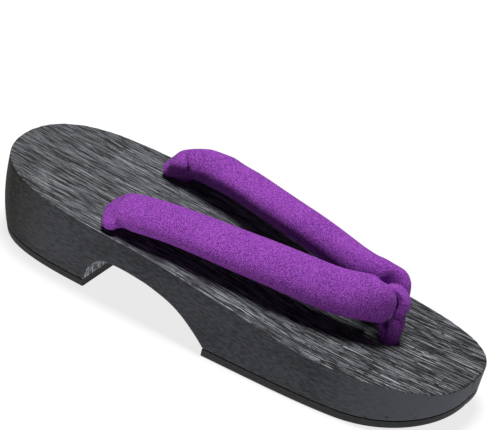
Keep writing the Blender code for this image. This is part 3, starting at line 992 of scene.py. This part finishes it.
@dataclass
class ThongStrap:
    """The padded cloth thong: two arms from the rear holes, joined at the waist in front."""

    run: StrapRun
    points: int = 36
    steps: int = 5
    voxel: float = 0.0013
    slack: float = 0.97
    pressure: float = 4.0
    swell_cap: float = 0.0007
    frames: int = 20
    held_share: float = 0.65
    held_rise: float = MM
    creases: tuple[Crease, ...] = (
        Crease(Side.LEFT, ((-4.2, 22.5, 10.5), (-5.6, 22.0, 8.0), (-6.3, 21.0, 5.5)), 1.9, 3.2),
        Crease(Side.LEFT, ((2.1, 24.7, 14.2), (4.8, 21.3, 13.8), (6.2, 19.7, 12.0), (6.0, 19.9, 9.3),
                           (5.0, 20.2, 7.0)), 2.5, 1.1),
        Crease(Side.LEFT, ((6.0, 20.0, 8.5), (3.3, 20.9, 6.9), (0.5, 21.2, 5.8)), 1.7, 1.3),
        Crease(Side.LEFT, ((-2.0, 21.0, 9.5), (1.2, 20.3, 10.2)), -0.7, 1.8),
        Crease(Side.LEFT, ((1.6, 24.6, 13.9), (7.4, 27.6, 16.5), (36.2, 28.1, 20.2), (54.3, 24.3, 21.8),
                           (72.6, 19.8, 24.1), (94.3, 13.6, 26.2), (103.6, 10.7, 27.3), (112.0, 6.8, 29.4)),
               -2.5, 6.5),
        Crease(Side.LEFT, ((13.0, 28.0, 17.2), (22.0, 28.4, 18.6)), -1.5, 5.0),
        Crease(Side.LEFT, ((9.0, 22.5, 6.8), (15.5, 19.7, 9.2)), 1.4, 2.2),
        Crease(Side.RIGHT, ((-1.4, 30.0, 11.8), (-3.4, 31.0, 9.8), (-4.2, 32.2, 7.6)), 2.9, 3.6),
        Crease(Side.RIGHT, ((-4.6, 25.0, 10.2), (-7.0, 24.8, 7.8), (-8.3, 24.6, 5.5)), 2.6, 3.8),
        Crease(Side.RIGHT, ((0.0, 40.2, 3.8), (5.0, 41.2, 4.4)), -1.6, 2.2),
        Crease(Side.RIGHT, ((124.6, 12.6, 14.6), (127.4, 10.9, 16.0), (129.3, 9.8, 18.5)), 1.5, 2.6),
        Crease(Side.RIGHT, ((7.6, 41.4, 6.4), (9.4, 40.6, 6.4), (11.0, 39.0, 6.2)), 1.5, 1.2),
        Crease(Side.RIGHT, ((4.0, 39.6, 8.2), (7.0, 40.6, 7.6)), 0.6, 1.4),
    )

    def ring(self, row: Sequence[float]) -> list[Vector]:
        """One section of the left arm from its table row.

        Args:
            row: Along, out, rise, width and thickness as shares, then heading, pitch and tilt in degrees.

        Returns:
            Its points.
        """
        run = self.run
        along, out, rise, width, thickness = row[:5]
        heading, pitch, tilt = (math.radians(v) for v in row[5:])
        x = run.rear_x + along * (run.front_x - run.rear_x)
        centre = Vector((x, out * run.rear_y, run.form.deck_height(x) + rise * run.rise))
        across = Vector((math.sin(heading), math.cos(heading), 0))
        forward = Vector((math.cos(heading), -math.sin(heading), 0))
        up = Vector((0, 0, math.cos(pitch))) - forward * math.sin(pitch)
        wide = across * math.cos(tilt) - up * math.sin(tilt)
        thick = across * math.sin(tilt) + up * math.cos(tilt)
        ring = turned_ring(centre, wide, thick, self.slack * width * run.width / 2,
                           self.slack * thickness * run.thickness / 2, self.points)
        return [Vector((p.x, max(p.y, run.parting), p.z)) for p in ring]

    def waist(self) -> list[list[Vector]]:
        """Sections of the waist, from the left nose to the middle."""
        run = self.run
        rings = []
        for out, height, width, lift in run.waist_rows:
            centre = run.waist_centre() + Vector((0, out * run.loop_width, lift * run.rise))
            rings.append(turned_ring(centre, Vector((0, 0, -1)), Vector((1, 0, 0)),
                                     run.waist_half_height * height, run.waist_half_width * width,
                                     self.points))
        return rings

    def arms(self) -> bpy.types.Object:
        """Both arms as one closed body."""
        run = self.run
        mouth, way = run.rear_axis(Side.LEFT)
        rings = run.tail(run.rear_knot_centre(Side.LEFT), mouth - way * run.tail_peep, run.tail_radius,
                         run.rear_knot, run.rear_knot, self.points)
        rings += [self.ring(row) for row in between_rows(run.rows, self.steps)]
        rings += self.waist()
        left = sweep("padded_thong_strap", rings)
        apply_modifier(left, "MIRROR", use_axis=(False, True, False), use_bisect_axis=(False, True, False),
                       use_bisect_flip_axis=(False, False, False), merge_threshold=0.0001)
        return left

    def swell(self, strap: bpy.types.Object) -> None:
        """Let the wadding fill the cloth out, held at the holes and under the toe loop.

        Args:
            strap: The strap, which is changed.
        """
        run = self.run
        start = [vert.co.copy() for vert in strap.data.vertices]
        held = [vert.index for vert in strap.data.vertices
                if abs(vert.co.y) < self.held_share * run.loop_width
                or vert.co.z < run.form.deck_height(vert.co.x) + self.held_rise]
        strap.vertex_groups.new(name="held").add(held, 1.0, "REPLACE")
        choose(strap)
        cloth = strap.modifiers.new("cloth", "CLOTH")
        cloth.settings.vertex_group_mass = "held"
        cloth.settings.use_pressure = True
        cloth.settings.uniform_pressure_force = self.pressure
        cloth.settings.effector_weights.gravity = 0
        for step in range(1, self.frames + 1):
            bpy.context.scene.frame_set(step)
        bpy.ops.object.modifier_apply(modifier="cloth")
        bpy.context.scene.frame_set(1)
        strap.vertex_groups.clear()
        for vert, home in zip(strap.data.vertices, start):
            move = vert.co - home
            if move.length > self.swell_cap:
                vert.co = home + move * (self.swell_cap / move.length)

    def build(self, finish: bpy.types.Material) -> bpy.types.Object:
        """Make the strap.

        Args:
            finish: The cloth.

        Returns:
            The finished piece.
        """
        strap = self.arms()
        apply_modifier(strap, "REMESH", mode="VOXEL", voxel_size=self.voxel)
        apply_modifier(strap, "SMOOTH", factor=0.5, iterations=3)
        self.swell(strap)
        apply_modifier(strap, "SUBSURF", levels=1, render_levels=1)
        for crease in self.creases:
            line = []
            for ahead, out, up in crease.places:
                x = self.run.rear_x + ahead * MM
                line.append(Vector((x, crease.side.value * out * MM, self.run.form.deck_height(x) + up * MM)))
            press(strap, line, crease.depth * MM, crease.reach * MM)
        strap.data.materials.clear()
        strap.data.materials.append(finish)
        finish_piece(strap, ["thong_strap"])
        return strap


@dataclass
class ToeLoop:
    """The cloth loop that holds the strap's waist down to the front hole.

    A fold has its line, as places ahead of the front hole, left of it and up from the deck, and then its
    depth and reach, all in millimetres: the pinch round the front leg, and the flattened crown.
    """

    run: StrapRun
    points: int = 28
    arc_steps: int = 18
    start_angle: float = 222
    end_angle: float = -42
    squareness: float = 3.4
    voxel: float = 0.0006
    head: float = 0.0024
    head_share: float = 0.8
    arc_thickness: float = 0.97
    wrinkle: float = 0.00022
    wrinkle_size: Triple = (0.0030, 0.0022, 0.0016)
    folds: tuple = (
        (((-0.5, -4.0, 14.2), (3.6, -3.8, 14.2), (4.3, 0.0, 14.2), (3.6, 3.8, 14.2), (-0.5, 4.0, 14.2)),
         1.5, 1.0),
        (((-3.0, 2.0, 27.0), (2.0, 2.0, 27.0)), 1.3, 4.5),
    )
    back_leg: tuple = ((-0.46, 0.025, 0.60, 0.84), (-0.95, 0.220, 0.66, 0.86), (-1.36, 0.460, 0.80, 0.94))
    front_leg: tuple = ((0.34, 0.460, 1.30, 1.00), (0.30, 0.220, 1.20, 0.98), (0.34, 0.025, 0.80, 0.86))

    def band(self) -> list[list[Vector]]:
        """Sections of the band from its back leg, over the waist, to its front leg."""
        run = self.run
        centre = run.waist_centre()
        deck = run.form.deck_height(run.front_x)
        reach = run.form.gap + run.loop_thickness / 2
        rows, front = [[(run.front_x + ahead * run.tail_radius, deck + up * run.rise, thick, wide)
                        for ahead, up, thick, wide in leg] for leg in (self.back_leg, self.front_leg)]
        for k in range(self.arc_steps + 1):
            turn = math.radians(self.start_angle + (self.end_angle - self.start_angle) * k / self.arc_steps)
            rows.append((centre.x + (run.waist_half_width + reach) * math.cos(turn),
                         centre.z + (run.waist_half_height + reach) * math.sin(turn),
                         self.arc_thickness, 1.0))
        rows = between_rows(rows + front, 3)
        side = Vector((0, 1, 0))
        rings = []
        for i, (x, z, thickness, width) in enumerate(rows):
            ahead = rows[min(i + 1, len(rows) - 1)]
            behind = rows[max(i - 1, 0)]
            way = Vector((ahead[0] - behind[0], 0, ahead[1] - behind[1])).normalized()
            rings.append(turned_ring(Vector((x, 0, z)), side, way.cross(side),
                                     width * run.loop_width / 2, thickness * run.loop_thickness / 2,
                                     self.points, self.squareness))
        return rings

    def wrinkle_cloth(self, loop: bpy.types.Object) -> None:
        """Wrinkle the gathered cloth of the loop finely all over.

        Args:
            loop: The loop, which is changed.
        """
        ways = [vert.normal.copy() for vert in loop.data.vertices]
        for vert, way in zip(loop.data.vertices, ways):
            place = Vector([along / size for along, size in zip(vert.co, self.wrinkle_size)])
            vert.co += way * (self.wrinkle * noise.noise(place))

    def build(self, finish: bpy.types.Material) -> bpy.types.Object:
        """Make the loop.

        Args:
            finish: The cloth.

        Returns:
            The finished piece.
        """
        run = self.run
        deck = run.form.deck_height(run.front_x)
        roof = run.form.rubber + run.front_recess - run.form.gap
        knot = Vector((run.front_x, 0, roof - run.front_knot_half_height))
        mouth = Vector((run.front_x, 0, deck + run.tail_peep))
        rings = run.tail(knot, mouth, run.tail_radius, run.front_knot_half_height, run.front_knot,
                         self.points)
        top = mouth + Vector((0, 0, self.head))
        size = run.tail_radius * self.head_share
        rings.append(turned_ring(top, Vector((0, 1, 0)), Vector((-1, 0, 0)), size, size, self.points))
        tail = sweep("cloth_toe_loop", rings)
        band = sweep("band", self.band())
        choose(tail, band)
        bpy.ops.object.join()
        apply_modifier(tail, "REMESH", mode="VOXEL", voxel_size=self.voxel)
        apply_modifier(tail, "SMOOTH", factor=0.5, iterations=4)
        self.wrinkle_cloth(tail)
        for line, depth, reach in self.folds:
            press(tail, [Vector((run.front_x + x * MM, y * MM, deck + z * MM)) for x, y, z in line],
                  depth * MM, reach * MM)
        tail.data.materials.clear()
        tail.data.materials.append(finish)
        finish_piece(tail, ["toe_loop"])
        return tail


@dataclass
class Studio:
    """A glowing white table, one small light nearly overhead, and the camera at the photograph's angle."""

    azimuth: float = 23.5905
    elevation: float = 29.0318
    roll: float = 13.1855
    distance: float = 1.600
    right: float = 0.0087187
    up: float = 0.0439728
    lens: float = 256.32
    sensor: float = 36.0
    floor_size: float = 12.0
    floor_drop: float = 0.0002
    floor_glow: float = 0.80
    world_glow: float = 0.05
    key_place: Triple = (-0.08, -0.04, 1.45)
    key_size: float = 0.45
    key_watts: float = 24.0

    def add_camera(self) -> None:
        """Place the camera, rolled as the photograph is."""
        azimuth, elevation, roll = (math.radians(v) for v in (self.azimuth, self.elevation, self.roll))
        back = Vector((math.sin(azimuth) * math.cos(elevation), -math.cos(azimuth) * math.cos(elevation),
                       math.sin(elevation)))
        level = (-back).cross(Vector((0, 0, 1))).normalized()
        rise = level.cross(-back)
        side = level * math.cos(roll) + rise * math.sin(roll)
        top = rise * math.cos(roll) - level * math.sin(roll)
        eye = back * self.distance + side * self.right + top * self.up
        data = bpy.data.cameras.new("camera")
        data.lens = self.lens
        data.sensor_width = self.sensor
        data.clip_start = 0.01
        data.clip_end = 100.0
        camera = bpy.data.objects.new("camera", data)
        turn = Matrix((side, top, back)).transposed().to_4x4()
        camera.matrix_world = Matrix.Translation(eye) @ turn
        bpy.context.scene.collection.objects.link(camera)
        bpy.context.scene.camera = camera

    def add_light(self) -> None:
        """Add the square key light, which faces the sandal."""
        data = bpy.data.lights.new("key", "AREA")
        data.shape = "SQUARE"
        data.size = self.key_size
        data.energy = self.key_watts
        light = bpy.data.objects.new("key", data)
        place = Vector(self.key_place)
        light.matrix_world = Matrix.Translation(place) @ place.to_track_quat("Z", "Y").to_matrix().to_4x4()
        bpy.context.scene.collection.objects.link(light)

    def add_table(self) -> None:
        """Add the table: an opal sheet lit from below, so that it stays white and shadows on it are faint."""
        deselect()
        bpy.ops.mesh.primitive_plane_add(size=self.floor_size, location=(0, 0, -self.floor_drop))
        table = bpy.context.active_object
        table.name = "studio_table"
        material, tree, shader = new_material("opal_acrylic_sheet")
        set_up(tree, shader, {"Base Color": linear("#808080"), "Roughness": 1.0, "Specular IOR Level": 0.0,
                              "Emission Color": linear("#ffffff"), "Emission Strength": self.floor_glow}, {})
        table.data.materials.append(material)

    def build(self) -> None:
        """Set up the table, the world, the light, the camera and a plain colour transform."""
        self.add_table()
        world = bpy.data.worlds.new("studio")
        world.use_nodes = True
        background = world.node_tree.nodes["Background"]
        background.inputs["Color"].default_value = linear("#ffffff")
        background.inputs["Strength"].default_value = self.world_glow
        bpy.context.scene.world = world
        bpy.context.scene.view_settings.view_transform = "Standard"
        self.add_light()
        self.add_camera()


def main() -> None:
    """Build every piece of the sandal and the studio, in order."""
    logging.basicConfig(level=logging.INFO, format="%(message)s")
    Studio().build()
    form = Form.from_frame()
    run = StrapRun(form)
    WoodBase(form, run).build()
    rubber = SoleRubber().build()
    RubberSole(form, "heel_rubber_sheet", "heel_rubber_sole", form.heel_stations(44)).build(rubber)
    forefoot = RubberSole(form, "forefoot_rubber_sheet", "forefoot_rubber_sole", form.toe_stations(60))
    forefoot.build(rubber, [run.front_recess_drill()])
    cloth = CrepeCloth().build()
    ThongStrap(run).build(cloth)
    ToeLoop(run).build(cloth)


if __name__ == "__main__":
    main()
